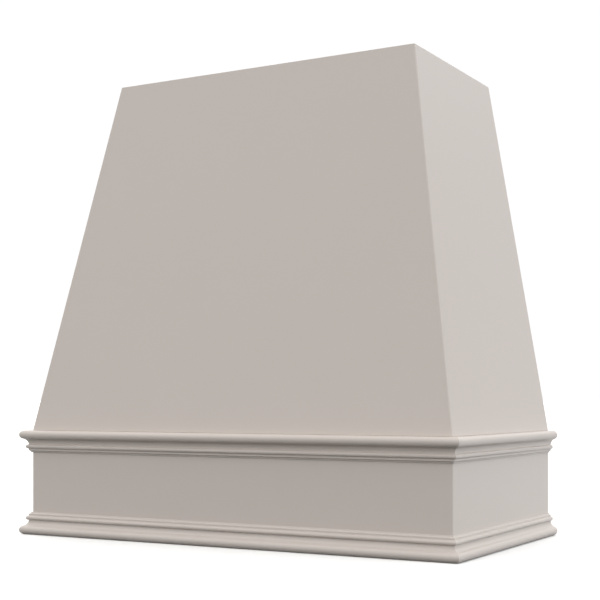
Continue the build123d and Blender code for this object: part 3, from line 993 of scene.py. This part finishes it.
def add_screw(mesh, head, way, length):
    """Add one screw. It is made upright, with its head at the origin, and then put in place."""
    circle = bmesh.ops.create_circle(mesh, segments=screw_sides, radius=head_radius)["verts"]
    rim = list(dict.fromkeys(edge for vertex in circle for edge in vertex.link_edges))

    def squared(at):
        size = max(abs(at.x), abs(at.y))
        return Vector((at.x, at.y, 0)) * recess_half_width / size

    def tapered(at):
        return Vector((at.x * recess_taper, at.y * recess_taper, -recess_depth))

    rings = [rim, carried(mesh, rim, squared)]
    rings.append(carried(mesh, rings[-1], tapered))
    bmesh.ops.edgeloop_fill(mesh, edges=rings[-1])
    outline = rim
    for radius, level in (
        (shank_radius, -head_height),
        (shank_radius, tip_height - length),
        (tip_radius, -length),
    ):
        lowered = Vector((0, 0, level))
        outline = carried(
            mesh, outline, lambda at: Vector((at.x, at.y, 0)).normalized() * radius + lowered
        )
        rings.append(outline)
    bmesh.ops.edgeloop_fill(mesh, edges=outline)
    made = list(dict.fromkeys(vertex for ring in rings for edge in ring for vertex in edge.verts))
    turn = (-way).to_track_quat("Z", "Y").to_matrix().to_4x4()
    bmesh.ops.transform(mesh, matrix=Matrix.Translation(head) @ turn, verts=made)


for node in ("cleat_screws", "seam_rail_screws", "ledger_screws", "top_cleat_screws"):
    mesh = bmesh.new()
    for head, way, length in screws_of(node):
        add_screw(mesh, head, way, length)
    print(node, len(mesh.verts), "points")
    finished(mesh, node, [zinc])

# %% [markdown]
# ## Rails, cleats, strips, ledgers and blocks
# The solids of the inner pieces have every hole and bevel already, so each piece is a copy of its
# solid. The copy's triangles are welded, and those that lie flat together become one face. Then
# the long edges are softened a little, as a wipe with sandpaper does, and the rims of drilled
# holes stay crisp.

# %% Soften an inner piece
edge_easing = 0.5 * mm
easing_steps = 3
shortest_arris = 5 * mm      # the rim of a drilled hole has shorter edges
arris_angle = math.radians(40)
flat_angle = math.radians(1)


def eased(node, finish):
    """Put a copy of an inner piece, with its long edges softened, in the piece's place."""
    mesh = welded(node)
    bmesh.ops.dissolve_limit(mesh, angle_limit=flat_angle, verts=mesh.verts, edges=mesh.edges)
    arrises = [
        edge
        for edge in mesh.edges
        if edge.is_convex
        and edge.calc_face_angle() > arris_angle
        and edge.calc_length() > shortest_arris
    ]
    bevel(mesh, arrises, edge_easing, easing_steps)
    print(node, len(arrises), "edges softened")
    finished(mesh, node, [finish])


print(f"long edges are softened by {edge_easing / mm:.1f} mm")

# %% [markdown]
# The rails and cleats at the back are strips of the same plywood as the boards, with the face
# grain along the wall. The strips round the top, the rails behind the seam and the ledgers are
# poplar, with the grain along each strip.

# %% Rails, cleats, strips and ledgers
rail_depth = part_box("back_rail_top")[1].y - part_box("back_rail_top")[0].y
for node in ("back_rail_top", "back_rail_bottom", "hood_cleat", "wall_cleat"):
    rail_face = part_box(node)[1]
    rail_ply = plywood(f"birch_plywood_{node}", (1, 0, 0), (0, -1, 0), rail_face, rail_depth)
    eased(node, rail_ply)
for strip in ("top_cleat", "seam_rail", "insert_ledger"):
    eased(f"{strip}_front", poplar_along)
    eased(f"{strip}_left", poplar_deep)
    eased(f"{strip}_right", poplar_deep)
eased("insert_ledger_back", poplar_along)

# %% [markdown]
# Glue blocks are cut along the grain, so in the shell their grain climbs with the corner that they
# fill, and in the band it stands upright. The splines are cut from thin plywood of five plies.
# They lie inside the boards, so it doesn't matter where in them a ply starts.

# %% Glue blocks and splines
block_pith = (0, -0.6, 0)
for node, grain, through in (
    ("shell_blocks_right", corner_slope, (1, 1, 0)),
    ("shell_blocks_left", left(corner_slope), (-1, 1, 0)),
    ("apron_blocks", (0, 0, 1), (0, 1, 0)),
):
    eased(node, poplar(f"poplar_planed_{node}", grain, through, block_pith))

spline_thickness = 6.35 * mm
spline_plies = 4            # the two thin outer ones count as one here too
spline_ply = plywood(
    "birch_plywood_splines", (0, 0, 1), (1, 1, 0), (0, 0, 0), spline_thickness, spline_plies
)
for node in ("shell_splines", "apron_splines"):
    eased(node, spline_ply)
